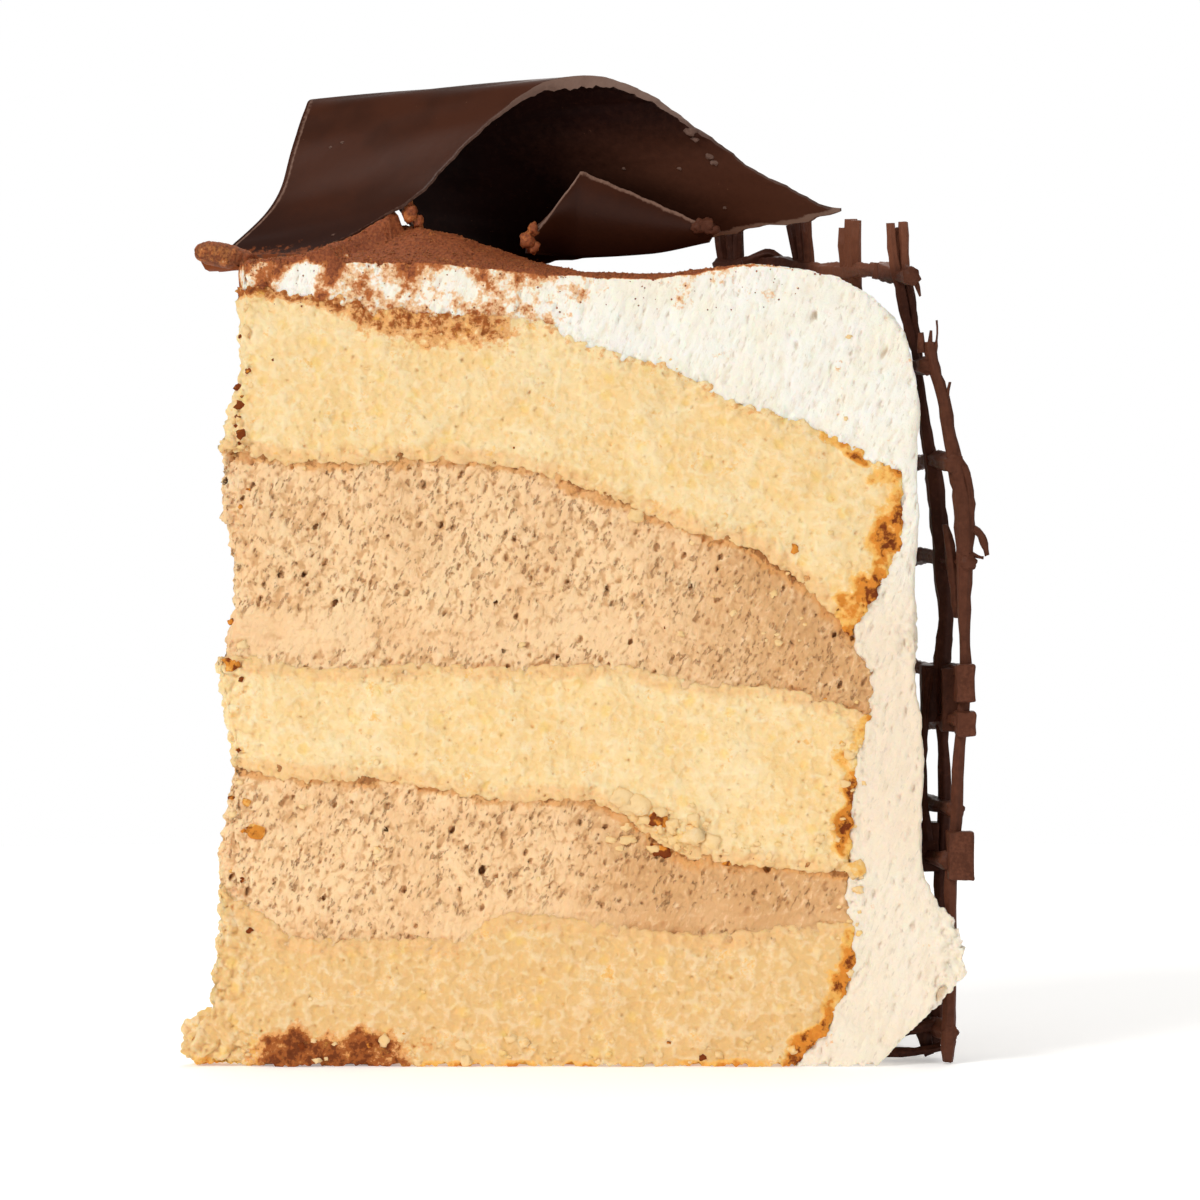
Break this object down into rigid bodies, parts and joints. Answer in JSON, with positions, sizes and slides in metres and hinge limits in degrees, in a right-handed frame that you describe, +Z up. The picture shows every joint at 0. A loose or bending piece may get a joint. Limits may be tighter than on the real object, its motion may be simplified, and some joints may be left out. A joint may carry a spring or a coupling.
{
  "type": "layered cake slice",
  "caption": "Tall wedge of sponge and mocha cream layers with a whipped cream coat, a chocolate lattice round the rim and a wavy chocolate sheet on top; a dessert portion.",
  "frame": {"origin": "a point on the flat underside of the bottom sponge, near the middle of the slice", "axes": "+Z up, the shown cut face looks towards -Y, the tip of the wedge towards -X and the iced rim towards +X"},
  "size_m": [0.0971, 0.061, 0.1197],
  "materials": {
    "sponge": "open crumb, dry",
    "mocha_cream": "soft, full of small bubbles",
    "whipped_cream": "soft, spread with a palette knife",
    "chocolate": "tempered, half gloss"
  },
  "bodies": {
    "root": {"sponge_bottom": "sponge", "mocha_cream_lower": "mocha_cream", "sponge_middle": "sponge", "mocha_cream_upper": "mocha_cream", "sponge_top": "sponge", "whipped_cream": "whipped_cream", "chocolate_sheet": "chocolate", "chocolate_shard": "chocolate", "chocolate_lattice": "chocolate"}
  },
  "joints": []
}
